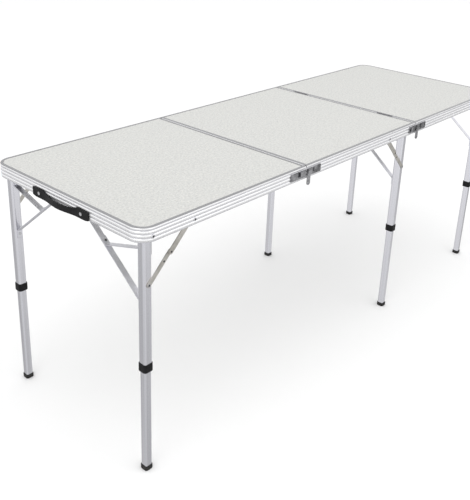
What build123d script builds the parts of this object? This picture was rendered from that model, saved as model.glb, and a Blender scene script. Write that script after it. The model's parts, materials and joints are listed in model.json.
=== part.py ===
from build123d import *
import os
from math import atan2, cos, degrees, pi, sqrt

# A three-section folding table: three framed panels, three folding leg frames
# with telescopic lower legs, folding side braces, two panel joints and a
# carrying handle.  Units are millimetres.  +X runs along the table from the
# handle end, +Y across it to the far side, +Z up from the floor.

# --- Driving dimensions -----------------------------------------------------
TABLE_HEIGHT = 700.0
TABLE_WIDTH = 600.0
SECTION_LENGTH = 600.0
JOINT_GAP = 3.0                 # clear gap between two sections
CORNER_RADIUS = 42.0

RAIL_DEPTH = 38.0
RAIL_LIP = 9.0                  # reach of the top lip and the bottom flange
BEAD_HEIGHT = 1.2               # how far the outer beads stand out
BOARD_THICKNESS = 4.8
BOARD_RISE = 0.9                # visible top inside the lips, above the board's tongue

LEG_SIZE = 25.0
LEG_WALL = 1.5
LEG_CORNER = 6.0
LEG_LINE_Y = 270.0              # centre line of each leg from the table's middle
LOWER_LEG_SIZE = 21.0
LOWER_LEG_WALL = 1.3
LOWER_LEG_CORNER = 4.5
LOWER_LEG_TOP = 345.0
UPPER_LEG_BOTTOM = 306.0
COLLAR_HEIGHT = 22.0
COLLAR_SIZE = 29.0
FOOT_SIZE = 24.5
FOOT_HEIGHT = 12.0
FOOT_FLOOR = 4.0                # thickness of rubber under the tube

PIVOT_DROP = 23.0               # leg pivot below the table top
BRACE_ARM = 132.0               # leg pivot to each end of a folding brace
BRACE_THICKNESS = 2.5
UPPER_BRACE_WIDTH = 15.0
LOWER_BRACE_WIDTH = 12.0
LOWER_BRACE_Y = 283.0           # inner face of the lower bar's layer
UPPER_BRACE_Y = 286.3           # inner face of the upper bar's layer

LEFT_LEGS_X = -865.0
CENTRE_LEGS_X = 272.0
RIGHT_LEGS_X = 865.0

STRUT_DROP = 190.0              # foot of the cross strut below the leg pivot
STRUT_TOP_Y = 45.0              # where the cross strut meets the cross tube
STRUT_WIDTH = 15.0
STRUT_THICKNESS = 2.5
CROSS_TUBE_RADIUS = 8.0

HINGE_Y = 180.0
HINGE_WIDTH = 60.0
HINGE_SEGMENTS = 5
LOW_HINGE_DROP = 1.5            # left joint's axis below the rails
HIGH_HINGE_RISE = 0.5           # right joint's axis above the table top

LATCH_HEIGHT = 22.0
LATCH_DROP = 20.0               # latch centre line below the table top
LATCH_PLATE = 1.5
BASE_LENGTH = 66.0
LEFT_KEEPER_LENGTH = 70.0
RIGHT_KEEPER_LENGTH = 40.0
LEVER_LENGTH = 38.0
LEVER_WIDTH = 14.0
LEVER_PIVOT_X = 8.0             # lever pivot from the middle of the joint

HANDLE_LENGTH = 228.0
HANDLE_THICKNESS = 3.2
HANDLE_BOW = 7.5
HANDLE_TOP_DROP = 14.5
HANDLE_BOTTOM_DROP = 40.5
HANDLE_RIVET_Y = 86.0

# --- Values that follow from them -------------------------------------------
HALF_WIDTH = TABLE_WIDTH / 2
TABLE_END = 1.5 * SECTION_LENGTH
JOINT_X = SECTION_LENGTH / 2
HALF_GAP = JOINT_GAP / 2
RAIL_BOTTOM = TABLE_HEIGHT - RAIL_DEPTH
PIVOT_Z = TABLE_HEIGHT - PIVOT_DROP
LEG_TOP = PIVOT_Z + 9.0
LEG_FACE = LEG_LINE_Y + LEG_SIZE / 2        # outer face of a leg
LEG_INNER_FACE = LEG_LINE_Y - LEG_SIZE / 2
BRACE_BAR = BRACE_ARM / sqrt(2)             # both bars of a folding brace
LOW_HINGE_Z = RAIL_BOTTOM - LOW_HINGE_DROP
HIGH_HINGE_Z = TABLE_HEIGHT + HIGH_HINGE_RISE
LATCH_Z = TABLE_HEIGHT - LATCH_DROP
UP = Vector(0, 0, 1)


def save(name, *solids):
    """Write one sub-part, a single solid or a group of separate ones."""
    shape = solids[0] if len(solids) == 1 else Compound(children=list(solids))
    export_step(shape, f"parts/{name}.step")


def y_cylinder(x, z, y_from, y_to, radius):
    """A round bar along Y between two values of Y."""
    low, high = min(y_from, y_to), max(y_from, y_to)
    plane = Plane(origin=(x, low, z), x_dir=(1, 0, 0), z_dir=(0, 1, 0))
    return extrude(plane * Circle(radius), high - low)


def x_cylinder(y, z, x_from, x_to, radius):
    """A round bar along X between two values of X."""
    low, high = min(x_from, x_to), max(x_from, x_to)
    plane = Plane(origin=(low, y, z), x_dir=(0, 1, 0), z_dir=(1, 0, 0))
    return extrude(plane * Circle(radius), high - low)


def domed(rivet_head):
    """Round off the outer rim of a rivet head."""
    rim = rivet_head.edges().filter_by(GeomType.CIRCLE)
    return fillet(rim.sort_by(lambda e: e.center().Y)[-1], 0.9)


def near_and_far(far_solid):
    """A solid on the far side together with its mirror on the near side."""
    return [far_solid, mirror(far_solid, about=Plane.XZ)]


def box(x_from, x_to, y_from, y_to, z_from, z_to):
    size = (x_to - x_from, y_to - y_from, z_to - z_from)
    middle = ((x_from + x_to) / 2, (y_from + y_to) / 2, (z_from + z_to) / 2)
    return Pos(*middle) * Box(*size)


# --- Panels -------------------------------------------------------------------
def rail_section(origin, outward):
    """The extruded rail's section: lip, board groove, three beads, flange."""
    web = -BEAD_HEIGHT
    inner = -3.2
    lip = -RAIL_LIP
    groove = -6.5
    depth = RAIL_DEPTH

    def bead(low, high):
        return ThreePointArc((web, low), (0, (low + high) / 2), (web, high))

    lines = [
        Line((lip, 0), (web - 1.5, 0)),
        RadiusArc((web - 1.5, 0), (web, 1.5), -1.5),
        Line((web, 1.5), (web, 3)),
        bead(3, 10.5),
        Line((web, 10.5), (web, 12.5)),
        bead(12.5, 20),
        Line((web, 20), (web, 22)),
        bead(22, 29.5),
        Line((web, 29.5), (web, 31.5)),
        Line((web, 31.5), (0, 33)),
        Line((0, 33), (0, depth - 3)),
        RadiusArc((0, depth - 3), (-3, depth), -3),
        Line((-3, depth), (lip, depth)),
        Line((lip, depth), (lip, depth - 1.4)),
        Line((lip, depth - 1.4), (inner, depth - 1.4)),
        Line((inner, depth - 1.4), (inner, 31.6)),
        Line((inner, 31.6), (groove, 31.6)),
        Line((groove, 31.6), (groove, 30.4)),
        Line((groove, 30.4), (inner, 30.4)),
        Line((inner, 30.4), (inner, 1.4)),
        Line((inner, 1.4), (lip, 1.4)),
        Line((lip, 1.4), (lip, 0)),
    ]
    outline = make_face(Curve() + lines)
    along = Vector(*outward).cross(UP)
    return Plane(origin=origin, x_dir=outward, z_dir=along) * outline


def straight_rail(x, y, outward, length):
    """A straight rail that starts at x, y and runs along outward x up."""
    return extrude(rail_section((x, y, RAIL_BOTTOM), outward), length)


def rail_corner(x, y, start, outward):
    """A quarter bend, clockwise from above, about the corner centre x, y."""
    section = rail_section(start, outward)
    return revolve(section, Axis((x, y, 0), (0, 0, -1)), revolution_arc=90)


def edge_rail():
    """The left section's rail: one length bent around both outer corners."""
    straight = SECTION_LENGTH - HALF_GAP - CORNER_RADIUS
    bend_x = -TABLE_END + CORNER_RADIUS
    bend_y = HALF_WIDTH - CORNER_RADIUS
    bottom = RAIL_BOTTOM
    rail = straight_rail(-JOINT_X - HALF_GAP, -HALF_WIDTH, (0, -1, 0), straight)
    rail += rail_corner(bend_x, -bend_y, (bend_x, -HALF_WIDTH, bottom), (0, -1, 0))
    rail += straight_rail(-TABLE_END, -bend_y, (-1, 0, 0), 2 * bend_y)
    rail += rail_corner(bend_x, bend_y, (-TABLE_END, bend_y, bottom), (-1, 0, 0))
    rail += straight_rail(bend_x, HALF_WIDTH, (0, 1, 0), straight)
    return rail


def joint_rail(x, outward_sign):
    """The cross rail that closes a section at a joint."""
    reach = HALF_WIDTH - RAIL_LIP - 0.1
    return straight_rail(x, outward_sign * reach, (outward_sign, 0, 0), 2 * reach)


def slab(x_from, x_to, inset, z_from, z_to, rounded_end):
    """A flat plate set in from a panel's outline, round at its free end."""
    half = HALF_WIDTH - inset
    plate = box(x_from + inset, x_to - inset, -half, half, z_from, z_to)
    if rounded_end == 0:
        return plate
    corners = plate.edges().filter_by(Axis.Z).sort_by(Axis.X)
    pair = corners[:2] if rounded_end < 0 else corners[-2:]
    return fillet(pair, CORNER_RADIUS - inset)


def top_board(x_from, x_to, rounded_end=0):
    """A board whose tongue sits in the grooves and whose top fills the frame."""
    low = RAIL_BOTTOM + 31.7
    high = low + BOARD_THICKNESS
    tongue = slab(x_from, x_to, 3.4, low, high, rounded_end)
    top = slab(x_from, x_to, RAIL_LIP + 0.2, high, high + BOARD_RISE, rounded_end)
    return tongue + top


def pivot_rivet(x, rail, with_head=True):
    """The stepped rivet that a leg frame turns on, far side."""
    pin = y_cylinder(x, PIVOT_Z, LEG_FACE - 20, HALF_WIDTH - 1.5, 3.0)
    spacer = y_cylinder(x, PIVOT_Z, LEG_FACE + 0.5, HALF_WIDTH - 3.2, 6.0) - rail
    if not with_head:
        return pin + spacer
    head = y_cylinder(x, PIVOT_Z, HALF_WIDTH - 1.5, HALF_WIDTH + 1.4, 5.0)
    return pin + spacer + (domed(head) - rail)


def brace_rivet(x, rail):
    """The rivet that hangs a folding brace from the rail, far side."""
    pin = y_cylinder(x, PIVOT_Z, UPPER_BRACE_Y + 0.1, HALF_WIDTH - 1.5, 2.5)
    spacer_y = UPPER_BRACE_Y + BRACE_THICKNESS + 0.3
    spacer = y_cylinder(x, PIVOT_Z, spacer_y, HALF_WIDTH - 3.2, 5.0)
    head = y_cylinder(x, PIVOT_Z, HALF_WIDTH - 1.5, HALF_WIDTH + 1.4, 4.5)
    return pin + spacer + (domed(head) - rail)


def rail_rivets(far_rail, legs_x, brace_side, near_head=True):
    """Leg and brace rivets of one leg frame, on both sides."""
    hanger = brace_rivet(legs_x + brace_side * BRACE_ARM, far_rail)
    far = pivot_rivet(legs_x, far_rail)
    near = mirror(pivot_rivet(legs_x, far_rail, near_head), about=Plane.XZ)
    return [far, near, *near_and_far(hanger)]


def rivet_holes(rail, legs_x, brace_side):
    """Cut the leg and brace rivet holes through a side rail or an edge rail."""
    reach = HALF_WIDTH + 2
    for x, radius in ((legs_x, 3.05), (legs_x + brace_side * BRACE_ARM, 2.55)):
        for side in (-1, 1):
            rail -= y_cylinder(x, PIVOT_Z, side * reach, side * (reach - 8), radius)
    return rail


# --- Panel hinges ---------------------------------------------------------------
def hinge_leaf(joint_x, side, axis_z, up, knuckle_radius, pin_radius, y):
    """One leaf of a panel hinge with its own knuckles.

    side is -1 for the leaf left of the joint and 1 for the one right of it.
    up is 1 where the leaf rises from the axis and -1 where it hangs from it.
    """
    x_a, x_b = sorted((joint_x + side * 0.3, joint_x + side * 1.4))
    start = axis_z + up * (knuckle_radius + 0.9)
    finish = start + up * 20
    low, high = min(start, finish), max(start, finish)
    leaf = box(x_a, x_b, y - HINGE_WIDTH / 2, y + HINGE_WIDTH / 2, low, high)
    segment = HINGE_WIDTH / HINGE_SEGMENTS
    first = 0 if side > 0 else 1
    for index in range(first, HINGE_SEGMENTS, 2):
        y_low = y - HINGE_WIDTH / 2 + index * segment + 0.2
        y_high = y_low + segment - 0.4
        z_low, z_high = min(axis_z, start), max(axis_z, start)
        leaf += box(x_a, x_b, y_low, y_high, z_low, z_high)
        leaf += y_cylinder(joint_x, axis_z, y_low, y_high, knuckle_radius)
    bore = y_cylinder(joint_x, axis_z, y - HINGE_WIDTH, y + HINGE_WIDTH, pin_radius + 0.05)
    return leaf - bore


def hinge_pair(joint_x, side, axis_z, up, knuckle_radius, pin_radius):
    args = (joint_x, side, axis_z, up, knuckle_radius, pin_radius)
    return [hinge_leaf(*args, y) for y in (-HINGE_Y, HINGE_Y)]


def hinge_pin(joint_x, axis_z, radius, y):
    half = HINGE_WIDTH / 2
    return y_cylinder(joint_x, axis_z, y - half, y + half, radius)


# --- Latches --------------------------------------------------------------------
def plate_rivet(x, z):
    """A small rivet head on a latch plate, far side."""
    face = HALF_WIDTH + LATCH_PLATE
    return domed(y_cylinder(x, z, face, face + 1.2, 2.6))


def latch_plate(x_from, x_to):
    z_low = LATCH_Z - LATCH_HEIGHT / 2
    y_face = HALF_WIDTH + LATCH_PLATE
    plate = box(x_from, x_to, HALF_WIDTH, y_face, z_low, z_low + LATCH_HEIGHT)
    return fillet(plate.edges().filter_by(Axis.Y), 2)


def latch_keeper(joint_x, length):
    """Plate with the catch that the lever swings up behind, far side."""
    face = HALF_WIDTH + LATCH_PLATE
    keeper = latch_plate(joint_x - length, joint_x - 2)
    x_from, x_to = joint_x - 32, joint_x - 20
    keeper += box(x_from, x_to, face, face + 5.1, LATCH_Z + 7.5, LATCH_Z + 9.5)
    keeper += box(x_from, x_to, face + 3.9, face + 5.1, LATCH_Z - 8, LATCH_Z + 9.5)
    solids = [keeper]
    for z in (LATCH_Z - 5.5, LATCH_Z + 5.5):
        solids.append(plate_rivet(joint_x - length + 5, z))
    return solids


def latch_base(joint_x):
    """Plate with the lever's pivot stud, far side."""
    face = HALF_WIDTH + LATCH_PLATE
    pivot_x = joint_x + LEVER_PIVOT_X
    plate = latch_plate(joint_x + 2, joint_x + BASE_LENGTH)
    stud = y_cylinder(pivot_x, LATCH_Z, face, face + 3.6, 2.5)
    stud += y_cylinder(pivot_x, LATCH_Z, face, face + 0.7, 5.0)
    stud += domed(y_cylinder(pivot_x, LATCH_Z, face + 3.6, face + 4.8, 4.5))
    solids = [plate, stud]
    for z in (LATCH_Z - 5.5, LATCH_Z + 5.5):
        solids.append(plate_rivet(joint_x + BASE_LENGTH - 6, z))
    knob_x = joint_x + 36
    solids.append(domed(y_cylinder(knob_x, LATCH_Z + 1, face, face + 3.5, 5.2)))
    return solids


def latch_lever(joint_x):
    """The swinging lever with a finger hole, hanging down, far side."""
    inner = HALF_WIDTH + LATCH_PLATE + 0.8
    pivot_x = joint_x + LEVER_PIVOT_X
    end_z = LATCH_Z - LEVER_LENGTH + LEVER_WIDTH / 2
    half = LEVER_WIDTH / 2
    lever = box(pivot_x - half, pivot_x + half, inner, inner + 2.5, end_z, LATCH_Z)
    for z in (LATCH_Z, end_z):
        lever += y_cylinder(pivot_x, z, inner, inner + 2.5, half)
    lever -= y_cylinder(pivot_x, LATCH_Z, inner - 1, inner + 4, 2.55)
    lever -= y_cylinder(pivot_x, end_z, inner - 1, inner + 4, 2.6)
    return lever


def on_both_sides(far_solids):
    return [solid for item in far_solids for solid in near_and_far(item)]


def near_only(far_solids):
    return [mirror(solid, about=Plane.XZ) for solid in far_solids]


# --- Leg frames -----------------------------------------------------------------
def square_tube(x, y, size, corner, wall, z_from, z_to):
    """A rounded square tube along Z."""
    section = RectangleRounded(size, size, corner)
    section -= RectangleRounded(size - 2 * wall, size - 2 * wall, corner - wall)
    return Pos(x, y, z_from) * extrude(section, z_to - z_from)


def upper_leg(x, side):
    """The upper leg tube of one side."""
    y = side * LEG_LINE_Y
    leg = square_tube(x, y, LEG_SIZE, LEG_CORNER, LEG_WALL, UPPER_LEG_BOTTOM, LEG_TOP)
    leg -= y_cylinder(x, PIVOT_Z, y - LEG_SIZE, y + LEG_SIZE, 3.05)
    outer = side * (LEG_FACE + 1)
    leg -= y_cylinder(x, PIVOT_Z - BRACE_ARM, outer, side * (LEG_FACE - 4), 2.5)
    inner = side * (LEG_INNER_FACE - 1)
    leg -= y_cylinder(x, PIVOT_Z - STRUT_DROP, inner, side * (LEG_INNER_FACE + 4), 2.0)
    return leg


def collar(x, side):
    """The plastic guide collar at the lower end of an upper leg."""
    y = side * LEG_LINE_Y
    bottom = UPPER_LEG_BOTTOM - 2
    sleeve = Pos(x, y, bottom) * extrude(
        RectangleRounded(COLLAR_SIZE, COLLAR_SIZE, 8), COLLAR_HEIGHT
    )
    sleeve = chamfer(sleeve.faces().sort_by(Axis.Z)[-1].edges(), 0.8)
    tube_bore = RectangleRounded(LEG_SIZE + 0.1, LEG_SIZE + 0.1, LEG_CORNER + 0.05)
    guide = LOWER_LEG_SIZE + 0.6
    guide_bore = RectangleRounded(guide, guide, LOWER_LEG_CORNER + 0.3)
    sleeve -= Pos(x, y, UPPER_LEG_BOTTOM) * extrude(tube_bore, COLLAR_HEIGHT)
    sleeve -= Pos(x, y, bottom - 1) * extrude(guide_bore, COLLAR_HEIGHT)
    return sleeve


def lower_leg(x, side):
    y = side * LEG_LINE_Y
    size, corner = LOWER_LEG_SIZE, LOWER_LEG_CORNER
    return square_tube(x, y, size, corner, LOWER_LEG_WALL, FOOT_FLOOR, LOWER_LEG_TOP)


def foot(x, side):
    """The rubber cap on the end of a lower leg."""
    y = side * LEG_LINE_Y
    cap = extrude(RectangleRounded(FOOT_SIZE, FOOT_SIZE, 6), FOOT_HEIGHT)
    cap = fillet(cap.faces().sort_by(Axis.Z)[0].edges(), 1.2)
    size = LOWER_LEG_SIZE + 0.1
    socket = extrude(RectangleRounded(size, size, LOWER_LEG_CORNER + 0.05), FOOT_HEIGHT)
    return Pos(x, y, 0) * (cap - Pos(0, 0, FOOT_FLOOR) * socket)


def cross_tube(x):
    """The tube that joins both legs of a frame on the pivot line."""
    reach = LEG_INNER_FACE
    tube = y_cylinder(x, PIVOT_Z, -reach, reach, CROSS_TUBE_RADIUS)
    return tube - y_cylinder(x, PIVOT_Z, -reach - 1, reach + 1, CROSS_TUBE_RADIUS - 1.5)


def strap(x, points):
    """A flat strap bent along points in Y and Z, with its width along X."""
    plane = Plane(origin=(x - STRUT_WIDTH / 2, 0, 0), x_dir=(0, 1, 0), z_dir=(1, 0, 0))
    outline = offset(
        Polyline(*points), STRUT_THICKNESS / 2, kind=Kind.INTERSECTION,
        side=Side.BOTH,
    )
    return extrude(plane * make_face(outline), STRUT_WIDTH)


def strut_points():
    """Centre line of the far cross strut, from the leg up to the cross tube."""
    half = STRUT_THICKNESS / 2
    leg_y = LEG_INNER_FACE - half
    foot_z = PIVOT_Z - STRUT_DROP
    tube_z = PIVOT_Z - CROSS_TUBE_RADIUS - half
    return [
        (leg_y, foot_z - 12),
        (leg_y, foot_z + 10),
        (STRUT_TOP_Y, tube_z),
        (STRUT_TOP_Y - 28, tube_z),
    ]


def strut_run():
    """Foot of the far cross strut's straight run, the run and its length."""
    _, (y_low, z_low), (y_high, z_high), _ = strut_points()
    run_y, run_z = y_high - y_low, z_high - z_low
    return y_low, z_low, run_y, run_z, sqrt(run_y ** 2 + run_z ** 2)


def beside_strut(share, lift):
    """A point lift above the far strut's centre line, share of the way up."""
    y_low, z_low, run_y, run_z, length = strut_run()
    y = y_low + share * run_y + lift * run_z / length
    return (y, z_low + share * run_z - lift * run_y / length)


def link_points():
    """Centre line of the far short link, from the strut out to the leg."""
    start, bend = (beside_strut(share, STRUT_THICKNESS) for share in (0.66, 0.58))
    leg_y = LEG_INNER_FACE - STRUT_THICKNESS / 2
    top_z = PIVOT_Z - 44
    return [start, bend, (leg_y, top_z), (leg_y, top_z + 16)]


def link_rivet_heads(x):
    """Both heads of the rivet that joins the far link to the strut."""
    _, _, run_y, run_z, length = strut_run()
    heads = []
    for lift, way, height in ((1.5, 1, 1.6), (-0.5, -1, 1.4)):
        y, z = beside_strut(0.615, lift * STRUT_THICKNESS)
        normal = (0, way * run_z / length, -way * run_y / length)
        plane = Plane(origin=(x, y, z), z_dir=normal)
        heads.append(extrude(plane * Circle(4.2), height))
    return heads


def gusset(x):
    """The steel corner plate on a leg's +X face with its rivets, far side."""
    thickness = 1.5
    face = x + LEG_SIZE / 2
    inner_y, outer_y = 226.0, 279.0
    plane = Plane(origin=(face, 0, 0), x_dir=(0, 1, 0), z_dir=(1, 0, 0))
    outline = make_face(Polyline(
        (outer_y, PIVOT_Z + 6), (inner_y, PIVOT_Z + 6), (inner_y, PIVOT_Z - 18),
        (LEG_INNER_FACE + 1, PIVOT_Z - 58), (outer_y, PIVOT_Z - 58), close=True,
    ))
    solids = [extrude(plane * outline, thickness)]
    back = face + thickness
    for y, z in ((245, PIVOT_Z - 24), (LEG_LINE_Y, PIVOT_Z - 46)):
        solids.append(x_cylinder(y, z, back, back + 0.9, 3.2))
    return solids


def frame_rivets(x):
    """Rivets that hold the cross strut and link and carry the brace, far side."""
    strut_z = PIVOT_Z - STRUT_DROP
    shank_end = LEG_INNER_FACE + LEG_WALL
    strut_face = LEG_INNER_FACE - STRUT_THICKNESS
    strut = y_cylinder(x, strut_z, shank_end, strut_face, 2.0)
    strut += y_cylinder(x, strut_z, strut_face, strut_face - 1.6, 4.0)
    brace_z = PIVOT_Z - BRACE_ARM
    outer = LOWER_BRACE_Y + BRACE_THICKNESS
    brace = y_cylinder(x, brace_z, LEG_FACE - LEG_WALL, outer, 2.5)
    brace += y_cylinder(x, brace_z, outer, outer + 0.4, 4.5)
    return [strut, brace]


def far_strut(x):
    """The far cross strut, drilled for its rivet."""
    hole = y_cylinder(x, PIVOT_Z - STRUT_DROP, LEG_INNER_FACE - 5, LEG_INNER_FACE, 2.0)
    return strap(x, strut_points()) - hole


# --- Folding braces ---------------------------------------------------------------
def brace_bar(x_a, z_a, x_b, z_b, y_inner, width):
    """A flat bar with round ends and a hole at each, far side."""
    length = sqrt((x_b - x_a) ** 2 + (z_b - z_a) ** 2)
    bar = box(0, length, 0, BRACE_THICKNESS, -width / 2, width / 2)
    for end in (0, length):
        bar += y_cylinder(end, 0, 0, BRACE_THICKNESS, width / 2)
    for end in (0, length):
        bar -= y_cylinder(end, 0, -1, BRACE_THICKNESS + 1, 2.55)
    turn = -degrees(atan2(z_b - z_a, x_b - x_a))
    return Pos(x_a, y_inner, z_a) * Rot(0, turn, 0) * bar


def upper_brace(legs_x, brace_side):
    """The bar from the rail to the middle joint, with the joint's rivet."""
    rail_x = legs_x + brace_side * BRACE_ARM
    mid_x = legs_x + brace_side * BRACE_ARM / 2
    mid_z = PIVOT_Z - BRACE_ARM / 2
    y = UPPER_BRACE_Y
    bar = brace_bar(rail_x, PIVOT_Z, mid_x, mid_z, y, UPPER_BRACE_WIDTH)
    rivet = y_cylinder(mid_x, mid_z, y, y + BRACE_THICKNESS, 2.5)
    head_y = y + BRACE_THICKNESS
    rivet += y_cylinder(mid_x, mid_z, head_y, head_y + 1.4, 4.0)
    return [bar, rivet]


def lower_brace(legs_x, brace_side):
    """The bar from the middle joint down to the leg, with its stop rivet."""
    mid_x = legs_x + brace_side * BRACE_ARM / 2
    mid_z = PIVOT_Z - BRACE_ARM / 2
    leg_z = PIVOT_Z - BRACE_ARM
    y = LOWER_BRACE_Y
    bar = brace_bar(legs_x, leg_z, mid_x, mid_z, y, LOWER_BRACE_WIDTH)
    share = 0.7
    stop_x = legs_x + share * (mid_x - legs_x)
    stop_z = leg_z + share * (mid_z - leg_z)
    bar -= y_cylinder(stop_x, stop_z, y - 1, y + BRACE_THICKNESS + 1, 2.0)
    stop = y_cylinder(stop_x, stop_z, y, y + BRACE_THICKNESS, 2.0)
    face = y + BRACE_THICKNESS
    stop += y_cylinder(stop_x, stop_z, face, face + 0.4, 3.4)
    return [bar, stop]


# --- Handle -----------------------------------------------------------------------
def handle_bow(y):
    """How far the grip stands off the rail at y."""
    reach = HANDLE_RIVET_Y - 14
    if abs(y) >= reach:
        return 0.0
    return HANDLE_BOW * (0.5 + 0.5 * cos(pi * y / reach))


def carry_handle():
    """The moulded strap handle, bowed away from the end rail."""
    half = HANDLE_LENGTH / 2
    flat = HANDLE_RIVET_Y - 14
    steps = [flat * share / 6 for share in range(-6, 7)]
    inner_x = -TABLE_END - 0.1
    outer_x = inner_x - HANDLE_THICKNESS
    inner = Spline(*[(inner_x - handle_bow(y), y) for y in steps])
    outer = Spline(*[(outer_x - handle_bow(y), y) for y in steps])
    plan = make_face(Curve() + [
        inner, outer,
        Polyline((inner_x, flat), (inner_x, half), (outer_x, half), (outer_x, flat)),
        Polyline((inner_x, -flat), (inner_x, -half), (outer_x, -half), (outer_x, -flat)),
    ])
    low = TABLE_HEIGHT - HANDLE_BOTTOM_DROP
    high = TABLE_HEIGHT - HANDLE_TOP_DROP
    strap_solid = Pos(0, 0, low) * extrude(plan, high - low)
    neck = 9.5
    top = Spline((-flat, high), (-flat / 2, high - neck), (0, high - neck - 1),
                 (flat / 2, high - neck), (flat, high))
    side_lines = [
        top,
        Polyline((flat, high), (half, high - 2), (half, low + 3), (half - 12, low),
                 (-half + 12, low), (-half, low + 3), (-half, high - 2), (-flat, high)),
    ]
    side_plane = Plane(origin=(-TABLE_END + 10, 0, 0), x_dir=(0, 1, 0), z_dir=(1, 0, 0))
    silhouette = extrude(side_plane * make_face(Curve() + side_lines), -60)
    handle = strap_solid & silhouette
    for y in (-HANDLE_RIVET_Y, HANDLE_RIVET_Y):
        handle -= x_cylinder(y, (low + high) / 2, inner_x + 1, outer_x - 1, 2.6)
    return handle


def handle_rivets():
    """The rivets that hold the handle to the end rail."""
    z = TABLE_HEIGHT - (HANDLE_TOP_DROP + HANDLE_BOTTOM_DROP) / 2
    outer_x = -TABLE_END - 0.1 - HANDLE_THICKNESS
    rivets = []
    for y in (-HANDLE_RIVET_Y, HANDLE_RIVET_Y):
        rivet = x_cylinder(y, z, -TABLE_END, outer_x, 2.5)
        rivets.append(rivet + x_cylinder(y, z, outer_x, outer_x - 1.4, 4.6))
    return rivets


# --- Assembly -----------------------------------------------------------------------
def save_panels():
    gap_edge = JOINT_X + HALF_GAP
    left = rivet_holes(edge_rail(), LEFT_LEGS_X, 1)
    right = rivet_holes(Rot(0, 0, 180) * edge_rail(), RIGHT_LEGS_X, -1)
    save("left_edge_rail", left)
    save("right_edge_rail", right)

    inner_edge = JOINT_X - HALF_GAP
    near = straight_rail(inner_edge, -HALF_WIDTH, (0, -1, 0), 2 * inner_edge)
    far = straight_rail(-inner_edge, HALF_WIDTH, (0, 1, 0), 2 * inner_edge)
    near = rivet_holes(near, CENTRE_LEGS_X, -1)
    far = rivet_holes(far, CENTRE_LEGS_X, -1)
    save("centre_near_rail", near)
    save("centre_far_rail", far)

    save("left_joint_rail", joint_rail(-gap_edge, 1))
    save("centre_joint_rails", joint_rail(-inner_edge, -1), joint_rail(inner_edge, 1))
    save("right_joint_rail", joint_rail(gap_edge, -1))

    save("left_top_board", top_board(-TABLE_END, -gap_edge, -1))
    save("centre_top_board", top_board(-inner_edge, inner_edge))
    save("right_top_board", top_board(gap_edge, TABLE_END, 1))

    save("left_rail_rivets", *rail_rivets(left, LEFT_LEGS_X, 1))
    save("centre_rail_rivets", *rail_rivets(far, CENTRE_LEGS_X, -1, near_head=False))
    save("right_rail_rivets", *rail_rivets(right, RIGHT_LEGS_X, -1))


def save_hinges():
    low = (LOW_HINGE_Z, 1, 2.6, 1.3)
    high = (HIGH_HINGE_Z, -1, 1.9, 0.9)
    save("left_hinge_leaves", *hinge_pair(-JOINT_X, -1, *low))
    save("centre_left_hinge_leaves", *hinge_pair(-JOINT_X, 1, *low))
    save("centre_right_hinge_leaves", *hinge_pair(JOINT_X, -1, *high))
    save("right_hinge_leaves", *hinge_pair(JOINT_X, 1, *high))
    pins = []
    for y in (-HINGE_Y, HINGE_Y):
        pins.append(hinge_pin(-JOINT_X, LOW_HINGE_Z, 1.3, y))
        pins.append(hinge_pin(JOINT_X, HIGH_HINGE_Z, 0.9, y))
    save("hinge_pins", *pins)


def save_latches():
    """One latch on the near side of each joint."""
    save("left_latch_keeper", *near_only(latch_keeper(-JOINT_X, LEFT_KEEPER_LENGTH)))
    save("centre_latch_keeper", *near_only(latch_keeper(JOINT_X, RIGHT_KEEPER_LENGTH)))
    save("centre_latch_base", *near_only(latch_base(-JOINT_X)))
    save("right_latch_base", *near_only(latch_base(JOINT_X)))
    save("left_latch_lever", *near_only([latch_lever(-JOINT_X)]))
    save("right_latch_lever", *near_only([latch_lever(JOINT_X)]))


def save_leg_frame(name, x, brace_side):
    save(f"{name}_near_upper_leg", upper_leg(x, -1))
    save(f"{name}_far_upper_leg", upper_leg(x, 1))
    save(f"{name}_leg_collars", collar(x, -1), collar(x, 1))
    save(f"{name}_lower_legs", lower_leg(x, -1), lower_leg(x, 1))
    save(f"{name}_feet", foot(x, -1), foot(x, 1))
    save(f"{name}_cross_tube", cross_tube(x))
    save(f"{name}_cross_struts", *near_and_far(far_strut(x)))
    link = strap(x, link_points())
    save(f"{name}_strut_links", *near_and_far(link))
    plates = on_both_sides(gusset(x) + frame_rivets(x) + link_rivet_heads(x))
    save(f"{name}_gussets", *plates)
    save(f"{name}_upper_braces", *on_both_sides(upper_brace(x, brace_side)))
    save(f"{name}_lower_braces", *on_both_sides(lower_brace(x, brace_side)))


def main():
    os.makedirs("parts", exist_ok=True)
    save_panels()
    save_hinges()
    save_latches()
    save("carry_handle", carry_handle())
    save("handle_rivets", *handle_rivets())
    save_leg_frame("left", LEFT_LEGS_X, 1)
    save_leg_frame("centre", CENTRE_LEGS_X, -1)
    save_leg_frame("right", RIGHT_LEGS_X, -1)


main()
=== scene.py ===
import json
import math

import bmesh
import bpy
from mathutils import Matrix, Vector


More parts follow.
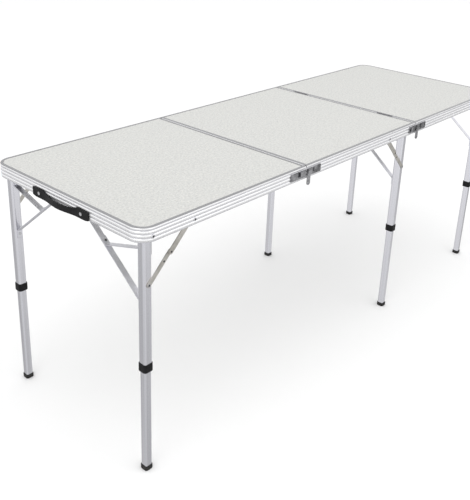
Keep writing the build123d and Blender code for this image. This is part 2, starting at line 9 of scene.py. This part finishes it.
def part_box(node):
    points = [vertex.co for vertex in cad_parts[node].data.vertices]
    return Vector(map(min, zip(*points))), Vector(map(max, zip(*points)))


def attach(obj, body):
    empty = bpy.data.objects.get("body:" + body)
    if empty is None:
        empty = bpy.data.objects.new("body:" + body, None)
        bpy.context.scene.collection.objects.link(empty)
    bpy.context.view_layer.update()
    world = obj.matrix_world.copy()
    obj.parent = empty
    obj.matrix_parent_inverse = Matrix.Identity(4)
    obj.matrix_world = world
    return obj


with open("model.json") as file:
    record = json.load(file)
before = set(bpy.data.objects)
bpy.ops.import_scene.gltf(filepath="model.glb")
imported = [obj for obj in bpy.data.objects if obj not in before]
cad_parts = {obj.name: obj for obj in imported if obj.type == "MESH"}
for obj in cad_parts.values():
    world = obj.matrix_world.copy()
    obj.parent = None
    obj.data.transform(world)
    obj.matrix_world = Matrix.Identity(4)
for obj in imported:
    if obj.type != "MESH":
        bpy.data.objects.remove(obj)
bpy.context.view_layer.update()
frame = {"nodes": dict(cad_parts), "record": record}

MM = 0.001
NODES = frame["nodes"]
JOINTS = {joint["name"]: joint for joint in frame["record"]["behaviour"]["joints"]}
SIDES = ("left", "centre", "right")
RAIL_BOTTOM, RAIL_TOP = 662 * MM, 700 * MM


# --- Node helpers -------------------------------------------------------------
# Socket numbers of a Mix node that mixes colours.
MIX_FACTOR, MIX_A, MIX_B, MIX_RESULT = 0, 6, 7, 2


def grey(value, tint=0.0):
    """A grey whose blue is raised by the share tint."""
    return (value, value, value * (1 + tint))


def color_ramp(tree, factor, stops):
    """Map a factor through stops of (position, colour)."""
    made = tree.nodes.new("ShaderNodeValToRGB")
    elements = made.color_ramp.elements
    while len(elements) < len(stops):
        elements.new(0.5)
    for element, (position, color) in zip(elements, stops):
        element.position = position
        element.color = (*color, 1)
    tree.links.new(factor, made.inputs["Fac"])
    return made.outputs["Color"]


def mix_colors(tree, factor, a, b, blend="MIX"):
    """Mix two colours; each argument is a socket, a number or a colour."""
    made = tree.nodes.new("ShaderNodeMix")
    made.data_type = "RGBA"
    made.blend_type = blend
    for key, value in ((MIX_FACTOR, factor), (MIX_A, a), (MIX_B, b)):
        if isinstance(value, bpy.types.NodeSocket):
            tree.links.new(value, made.inputs[key])
        elif key == MIX_FACTOR:
            made.inputs[key].default_value = value
        else:
            made.inputs[key].default_value = (*value, 1)
    return made.outputs[MIX_RESULT]


def map_range(tree, value, **limits):
    """Map a value linearly; limits are from_min, from_max, to_min and to_max."""
    made = tree.nodes.new("ShaderNodeMapRange")
    for key, limit in limits.items():
        made.inputs[key.replace("_", " ").title()].default_value = limit
    tree.links.new(value, made.inputs["Value"])
    return made.outputs["Result"]


def vertical(tree, coords):
    """The Z part of a vector socket."""
    split = tree.nodes.new("ShaderNodeSeparateXYZ")
    tree.links.new(coords, split.inputs["Vector"])
    return split.outputs["Z"]


class Surface:
    """A principled material with helpers for noise patterns in object space."""

    def __init__(self, name, color, metallic, roughness, specular=0.5):
        self.mat = bpy.data.materials.new(name)
        self.mat.use_nodes = True
        self.tree = self.mat.node_tree
        self.bsdf = self.tree.nodes["Principled BSDF"]
        self.bsdf.inputs["Base Color"].default_value = (*color, 1)
        self.bsdf.inputs["Metallic"].default_value = metallic
        self.bsdf.inputs["Roughness"].default_value = roughness
        self.bsdf.inputs["Specular IOR Level"].default_value = specular
        self.coords = self.tree.nodes.new("ShaderNodeTexCoord").outputs["Object"]

    def node(self, kind, **inputs):
        made = self.tree.nodes.new(kind)
        for key, value in inputs.items():
            made.inputs[key].default_value = value
        return made

    def link(self, a, b):
        self.tree.links.new(a, b)

    def noise(self, scale, detail=3.0, rough=0.5, stretch=(1, 1, 1)):
        """Noise whose grain is 1/scale metres, stretched along each axis."""
        mapping = self.node("ShaderNodeMapping")
        mapping.inputs["Scale"].default_value = stretch
        self.link(self.coords, mapping.inputs["Vector"])
        tex = self.node("ShaderNodeTexNoise", Scale=scale, Detail=detail, Roughness=rough)
        self.link(mapping.outputs["Vector"], tex.inputs["Vector"])
        return tex.outputs["Fac"]

    def ramp(self, factor, stops):
        return color_ramp(self.tree, factor, stops)

    def mix(self, factor, a, b, blend="MIX"):
        return mix_colors(self.tree, factor, a, b, blend)

    def span(self, factor, low, high):
        """Map 0..1 onto low..high."""
        return map_range(self.tree, factor, to_min=low, to_max=high)

    def height(self, low, high):
        """Height between two levels as 0..1."""
        z = vertical(self.tree, self.coords)
        return map_range(self.tree, z, from_min=low, from_max=high)

    def color(self, socket):
        self.link(socket, self.bsdf.inputs["Base Color"])

    def roughness(self, factor, low, high):
        self.link(self.span(factor, low, high), self.bsdf.inputs["Roughness"])

    def bumps(self, *layers):
        """Chain bump layers of (height factor, distance in metres, strength)."""
        normal = None
        for height, distance, strength in layers:
            made = self.node("ShaderNodeBump", Distance=distance, Strength=strength)
            self.link(height, made.inputs["Height"])
            if normal is not None:
                self.link(normal, made.inputs["Normal"])
            normal = made.outputs["Normal"]
        self.link(normal, self.bsdf.inputs["Normal"])


# --- Materials ----------------------------------------------------------------
def rail_material():
    """Bright extruded aluminium with painted shade in each groove between beads and along
    the top lip.
    """
    s = Surface("rail_aluminium", (0.90, 0.90, 0.92), 0.72, 0.26)
    die_lines = s.noise(1.0, 2.0, 0.6, stretch=(3, 3, 320))
    cloud = s.noise(9.0, 4.0, 0.55)
    smudge = s.noise(45.0, 4.0, 0.6)
    height = s.height(RAIL_BOTTOM, RAIL_TOP)
    # dull is the painted shade laid in each groove between the beads; clean is the bare
    # metal.
    clean, dull = grey(0.94, 0.01), grey(0.67, 0.05)
    # Painted shade: a dark line along the top lip, where the rail meets the board.
    lip_shade = grey(0.26, 0.04)
    groove_shade_bands = s.ramp(height, [
        (0.00, dull), (0.055, dull), (0.115, clean), (0.245, clean),
        (0.285, dull), (0.320, dull), (0.365, clean), (0.500, clean),
        (0.535, dull), (0.570, dull), (0.615, clean), (0.745, clean),
        (0.790, dull), (0.850, dull), (0.885, clean), (0.955, clean), (0.985, lip_shade),
    ])
    tone = s.ramp(die_lines, [(0.35, grey(0.93)), (0.65, grey(1.0))])
    lined = s.mix(1.0, groove_shade_bands, tone, "MULTIPLY")
    s.color(s.mix(s.span(cloud, 0.0, 0.10), lined, grey(0.74, 0.04)))
    s.roughness(smudge, 0.20, 0.34)
    s.bumps((die_lines, 0.00001, 0.1))
    return s.mat


def leg_material():
    """Drawn aluminium tube: fine lines down the tube, handling marks."""
    s = Surface("leg_aluminium", (0.76, 0.76, 0.79), 1.0, 0.24)
    lines = s.noise(1.0, 2.0, 0.6, stretch=(260, 260, 2))
    cloud = s.noise(14.0, 4.0, 0.6)
    marks = s.noise(1.0, 4.0, 0.7, stretch=(160, 160, 34))
    tone = s.ramp(lines, [(0.3, grey(0.78, 0.06)), (0.7, grey(0.86, 0.06))])
    s.color(s.mix(s.span(cloud, 0.0, 0.3), tone, grey(0.74, 0.07)))
    s.roughness(marks, 0.17, 0.27)
    s.bumps((lines, 0.00001, 0.15))
    return s.mat


def board_material():
    """Pale laminate: warm white ground with fine grey and tan flecks."""
    s = Surface("board_laminate", (0.82, 0.82, 0.79), 0.0, 0.42, 0.4)
    mottle = s.noise(170.0, 3.0, 0.65)
    ground = s.ramp(mottle, [
        (0.30, (0.455, 0.458, 0.445)), (0.50, (0.560, 0.563, 0.548)),
        (0.70, (0.665, 0.665, 0.640)),
    ])
    fleck = s.noise(520.0, 2.0, 0.6)
    grey_flecks = s.ramp(fleck, [(0.56, (0, 0, 0)), (0.66, (1, 1, 1))])
    flecked = s.mix(s.span(grey_flecks, 0.0, 0.5), ground, (0.37, 0.37, 0.35))
    warm = s.noise(310.0, 2.0, 0.5)
    tan = s.ramp(warm, [(0.58, (0, 0, 0)), (0.68, (1, 1, 1))])
    s.color(s.mix(s.span(tan, 0.0, 0.6), flecked, (0.72, 0.70, 0.62)))
    grain = s.noise(900.0, 2.0, 0.5)
    s.roughness(fleck, 0.36, 0.5)
    s.bumps((grain, 0.00006, 0.3))
    return s.mat


def steel_material(name, dark, light, low_rough=0.28, high_rough=0.46):
    """Zinc-plated pressed steel: spangle, rolling lines and dull patches."""
    s = Surface(name, light, 1.0, 0.35)
    spangle = s.noise(420.0, 3.0, 0.6)
    patch = s.noise(38.0, 4.0, 0.6)
    tone = s.ramp(patch, [(0.35, dark), (0.65, light)])
    s.color(s.mix(s.span(spangle, 0.0, 0.3), tone, dark))
    s.roughness(spangle, low_rough, high_rough)
    s.bumps((spangle, 0.00005, 0.25), (patch, 0.00010, 0.15))
    return s.mat


def plastic_material():
    """Black moulded plastic with a fine texture and scuffed lighter patches."""
    s = Surface("black_plastic", (0.010, 0.010, 0.011), 0.0, 0.5, 0.18)
    texture = s.noise(1500.0, 2.0, 0.5)
    scuff = s.noise(70.0, 6.0, 0.7)
    s.color(s.ramp(scuff, [(0.45, (0.005, 0.005, 0.006)), (0.75, (0.018, 0.018, 0.020))]))
    s.roughness(scuff, 0.40, 0.62)
    s.bumps((texture, 0.00010, 0.4))
    return s.mat


def rubber_material():
    """Black rubber, duller than the plastic and a little dusty near the floor."""
    s = Surface("foot_rubber", (0.014, 0.014, 0.014), 0.0, 0.8, 0.3)
    texture = s.noise(700.0, 4.0, 0.6)
    dust = s.noise(160.0, 5.0, 0.7)
    s.color(s.ramp(dust, [(0.4, (0.010, 0.010, 0.010)), (0.8, (0.055, 0.053, 0.050))]))
    s.roughness(dust, 0.65, 0.9)
    s.bumps((texture, 0.00015, 0.4))
    return s.mat


def mandrel_and_hole_shade_material():
    """The broken end of a blind rivet's mandrel: dark steel with painted shade of the
    rivet's hole.
    """
    s = Surface("mandrel_steel_and_hole_shade", (0.06, 0.06, 0.065), 1.0, 0.5)
    grit = s.noise(1800.0, 3.0, 0.6)
    s.color(s.ramp(grit, [(0.3, (0.03, 0.03, 0.03)), (0.7, (0.12, 0.12, 0.13))]))
    s.bumps((grit, 0.0001, 0.5))
    return s.mat


RAIL = rail_material()
LEG = leg_material()
BOARD = board_material()
STEEL = steel_material("plated_steel", grey(0.50, 0.04), grey(0.66, 0.04))
# Struts: the plated steel with lighter colours, painted light to offset the shade the
# struts sit in.
STRUT_PAINTED_LIGHT = steel_material("strut_steel_painted_light", grey(0.70, 0.06), grey(0.84, 0.06))
BRACE = steel_material("brace_steel", (0.50, 0.48, 0.44), (0.70, 0.68, 0.64))
LATCH = steel_material("latch_steel", grey(0.14, 0.04), grey(0.52, 0.04), 0.18, 0.34)
RIVET = steel_material("rivet_aluminium", (0.66, 0.66, 0.68), (0.80, 0.80, 0.82), 0.2, 0.34)
PLASTIC = plastic_material()
RUBBER = rubber_material()
# Mandrel colour: dark steel together with the painted shade of the rivet holes.
MANDREL_AND_HOLE_SHADE = mandrel_and_hole_shade_material()

BY_ENDING = (
    ("edge_rail", RAIL), ("joint_rail", RAIL), ("joint_rails", RAIL),
    ("near_rail", RAIL), ("far_rail", RAIL), ("top_board", BOARD),
    ("rail_rivets", RIVET), ("handle_rivets", RIVET),
    ("right_hinge_leaves", RAIL), ("hinge_leaves", STEEL), ("hinge_pins", STEEL),
    ("latch_keeper", LATCH), ("latch_base", LATCH), ("latch_lever", LATCH),
    ("carry_handle", PLASTIC), ("leg_collars", PLASTIC), ("feet", RUBBER),
    ("upper_leg", LEG), ("lower_legs", LEG), ("cross_tube", LEG),
    ("cross_struts", STRUT_PAINTED_LIGHT), ("strut_links", STRUT_PAINTED_LIGHT), ("gussets", STEEL),
    ("upper_braces", BRACE), ("lower_braces", BRACE),
)


def material_for(node):
    for ending, material in BY_ENDING:
        if node.endswith(ending):
            return material
    raise ValueError(f"no material for {node}")


def paint(obj, material):
    obj.data.materials.clear()
    obj.data.materials.append(material)


for name, node in NODES.items():
    paint(node, material_for(name))


# --- Mesh helpers -------------------------------------------------------------
def add_mesh(name, bm, material, body):
    bmesh.ops.recalc_face_normals(bm, faces=bm.faces)
    mesh = bpy.data.meshes.new(name)
    bm.to_mesh(mesh)
    bm.free()
    mesh.shade_smooth()
    obj = bpy.data.objects.new(name, mesh)
    bpy.context.scene.collection.objects.link(obj)
    mesh.materials.append(material)
    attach(obj, body)
    return obj


def lathe(bm, profile, centre, axis, segments=20):
    """Turn a profile of (radius, height) about axis through centre."""
    turn = Vector((0, 0, 1)).rotation_difference(Vector(axis)).to_matrix()
    rings = []
    for radius, height in profile:
        ring = []
        for i in range(segments if radius > 0 else 1):
            a = 2 * math.pi * i / segments
            point = Vector((radius * math.cos(a), radius * math.sin(a), height))
            ring.append(bm.verts.new(Vector(centre) + turn @ point))
        rings.append(ring)
    for low, high in zip(rings, rings[1:]):
        for i in range(segments):
            j = (i + 1) % segments
            corners = [low[i % len(low)], low[j % len(low)]]
            corners += [high[j % len(high)], high[i % len(high)]]
            unique = list(dict.fromkeys(corners))
            if len(unique) > 2:
                bm.faces.new(unique)


# --- Rivet mandrels -----------------------------------------------------------
MANDREL_PROFILE = [
    (0.0, -0.5 * MM), (2.7 * MM, -0.5 * MM), (2.7 * MM, 0.10 * MM),
    (2.3 * MM, 0.30 * MM), (1.2 * MM, 0.22 * MM), (0.0, 0.10 * MM),
]


def mandrels(name, body, places):
    """Mandrel ends in rivet heads, dark with painted shade of the holes: places are (point,
    outward direction).
    """
    bm = bmesh.new()
    for point, outward in places:
        lathe(bm, MANDREL_PROFILE, point, outward)
    add_mesh(name, bm, MANDREL_AND_HOLE_SHADE, body)


# Places that the frame doesn't give: along the folding braces and the struts.
STOP_SHARE = 0.7                   # stop rivet's place up the lower brace bar
LINK_SHARE = 0.615                 # link rivet's place up the strut
LINK_RIVET_REACH = 5.35 * MM       # link rivet's head above the strut's centre line
# Ends of the far strut's straight run, as (y, z) of its centre line.
STRUT_FOOT = Vector((256.25 * MM, 497 * MM))
STRUT_HEAD = Vector((45.0 * MM, 667.75 * MM))


def pivot(joint):
    return Vector(JOINTS[joint]["pos_m"])


def outer_face(node):
    """How far a node reaches from the table's middle line."""
    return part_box(node)[1][1]


def near_and_far(point, y, outward=(0, 1, 0)):
    """One rivet head on each side of the table, as (place, direction) pairs."""
    return [
        ((point[0], sign * y, point[2]), (outward[0], sign * outward[1], outward[2]))
        for sign in (-1, 1)
    ]


def add_rail_mandrels(side):
    reach = outer_face(f"{side}_rail_rivets")
    legs = near_and_far(pivot(f"{side}_legs_fold"), reach)
    if side == "centre":
        legs = legs[1:]            # a latch keeper covers the near one
    braces = near_and_far(pivot(f"{side}_upper_brace_fold"), reach)
    mandrels(f"{side}_rivet_mandrels", f"{side}_panel", legs + braces)


def add_leg_mandrels(side):
    on_leg = pivot(f"{side}_lower_brace_fold")
    middle = (on_leg + pivot(f"{side}_upper_brace_fold")) / 2
    stop = on_leg.lerp(middle, STOP_SHARE)
    joint_face = outer_face(f"{side}_upper_braces")
    stop_face = outer_face(f"{side}_lower_braces")
    leg_face = outer_face(f"{side}_gussets")

    run = STRUT_HEAD - STRUT_FOOT
    normal = Vector((run.y, -run.x)).normalized()
    link_y, link_z = STRUT_FOOT + run * LINK_SHARE + normal * LINK_RIVET_REACH
    link = near_and_far((on_leg.x, 0, link_z), link_y, (0, normal.x, normal.y))

    mandrels(
        f"{side}_brace_joint_mandrels", f"{side}_upper_brace_pair",
        near_and_far(middle, joint_face),
    )
    mandrels(
        f"{side}_brace_stop_mandrels", f"{side}_lower_brace_pair",
        near_and_far(stop, stop_face),
    )
    mandrels(
        f"{side}_frame_mandrels", f"{side}_leg_frame",
        near_and_far(on_leg, leg_face) + link,
    )


for side in SIDES:
    add_rail_mandrels(side)
for side in SIDES:
    add_leg_mandrels(side)


# --- Camera -------------------------------------------------------------------
CAMERA_PLACE = (-1.8589, -1.4148, 1.4177)      # metres
CAMERA_AZIMUTH, CAMERA_TILT, CAMERA_ROLL = 48.544, 21.552, 2.193     # degrees
CAMERA_FOCAL, CAMERA_SHIFT = 1.47758, -0.15    # in lengths of the longer side
SENSOR_SIZE = 36


def add_camera():
    azimuth, tilt, roll = (
        math.radians(v) for v in (CAMERA_AZIMUTH, CAMERA_TILT, CAMERA_ROLL)
    )
    forward = Vector((
        math.cos(tilt) * math.sin(azimuth), math.cos(tilt) * math.cos(azimuth),
        -math.sin(tilt),
    ))
    level = Vector((math.cos(azimuth), -math.sin(azimuth), 0))
    upright = level.cross(forward)
    right = level * math.cos(roll) + upright * math.sin(roll)
    up = -level * math.sin(roll) + upright * math.cos(roll)
    data = bpy.data.cameras.new("camera")
    camera = bpy.data.objects.new("camera", data)
    bpy.context.scene.collection.objects.link(camera)
    turn = Matrix((right, up, -forward)).transposed().to_4x4()
    camera.matrix_world = Matrix.Translation(CAMERA_PLACE) @ turn
    data.sensor_width = SENSOR_SIZE
    data.lens = SENSOR_SIZE * CAMERA_FOCAL
    data.shift_y = CAMERA_SHIFT
    data.clip_start, data.clip_end = 0.05, 100
    bpy.context.scene.camera = camera


# --- Studio -------------------------------------------------------------------
FLOOR_REACH = 30                   # metres from the table to the floor's edge
FLOOR_ALBEDO = 0.93


def floor_material():
    s = Surface("pale_floor", grey(FLOOR_ALBEDO), 0.0, 0.7, 0.2)
    s.roughness(s.noise(2.0), 0.65, 0.75)
    return s.mat


def add_floor():
    bm = bmesh.new()
    bmesh.ops.create_grid(bm, x_segments=2, y_segments=2, size=FLOOR_REACH)
    mesh = bpy.data.meshes.new("floor")
    bm.to_mesh(mesh)
    bm.free()
    floor = bpy.data.objects.new("floor", mesh)
    bpy.context.scene.collection.objects.link(floor)
    mesh.materials.append(floor_material())
    floor.visible_glossy = False


def add_area(name, place, aim, size, energy):
    data = bpy.data.lights.new(name, "AREA")
    data.shape = "RECTANGLE"
    data.size, data.size_y = size
    data.energy = energy
    light = bpy.data.objects.new(name, data)
    light.location = place
    direction = Vector(aim) - Vector(place)
    light.rotation_mode = "QUATERNION"
    light.rotation_quaternion = direction.to_track_quat("-Z", "Y")
    bpy.context.scene.collection.objects.link(light)


# The studio's brightness by height. Positions run from 0 straight down, through
# 0.5 at the horizon, to 1 straight up.
WORLD_LEVELS = (
    (0.0, grey(0.40)), (0.22, grey(0.60)), (0.36, grey(0.84)), (0.48, grey(0.95)),
)
# Just under the horizon all of this gives way to plain white.
WHITE_ABOVE = ((0.445, grey(0.0)), (0.470, grey(1.0)))
# Dim patches that the metal reflects: direction, cosine at the edge, level.
DIM_PATCHES = (
    ((0.92, -0.33, -0.20), 0.93, 0.45),
    ((0.45, -0.60, -0.66), 0.94, 0.80),
    ((-0.50, 0.78, -0.38), 0.92, 0.66),
)
PATCH_CORE = 0.99                  # cosine inside which a patch is at its level
WORLD_STRENGTH = 1.08


def add_world():
    """Soft studio surround: white above, greyer low down, with dim patches."""
    world = bpy.data.worlds.new("studio")
    bpy.context.scene.world = world
    world.use_nodes = True
    tree = world.node_tree
    coords = tree.nodes.new("ShaderNodeTexCoord").outputs["Generated"]
    lift = map_range(tree, vertical(tree, coords), from_min=-1)
    levels = color_ramp(tree, lift, WORLD_LEVELS)
    for direction, edge, level in DIM_PATCHES:
        facing = tree.nodes.new("ShaderNodeVectorMath")
        facing.operation = "DOT_PRODUCT"
        facing.inputs[1].default_value = direction
        tree.links.new(coords, facing.inputs[0])
        stops = ((edge, grey(1.0)), (PATCH_CORE, grey(level)))
        dimming = color_ramp(tree, facing.outputs["Value"], stops)
        levels = mix_colors(tree, 1.0, levels, dimming, "MULTIPLY")
    whiteness = color_ramp(tree, lift, WHITE_ABOVE)
    levels = mix_colors(tree, whiteness, levels, grey(1.0))
    background = tree.nodes["Background"]
    tree.links.new(levels, background.inputs["Color"])
    background.inputs["Strength"].default_value = WORLD_STRENGTH


# Soft lights: name, place, aim, size and power in watts.
SOFTBOXES = (
    ("top_softbox", (-0.4, -0.6, 3.2), (0, 0, 0.6), (3.0, 2.0), 14),
    ("left_softbox", (-3.4, -0.8, 1.9), (-0.3, 0, 0.6), (1.6, 1.6), 10),
    ("front_strip", (0.6, -3.2, 1.5), (0.2, 0, 0.6), (3.0, 0.9), 8),
)

add_camera()
add_floor()
add_world()
for softbox in SOFTBOXES:
    add_area(*softbox)

bpy.context.scene.view_settings.view_transform = "Standard"
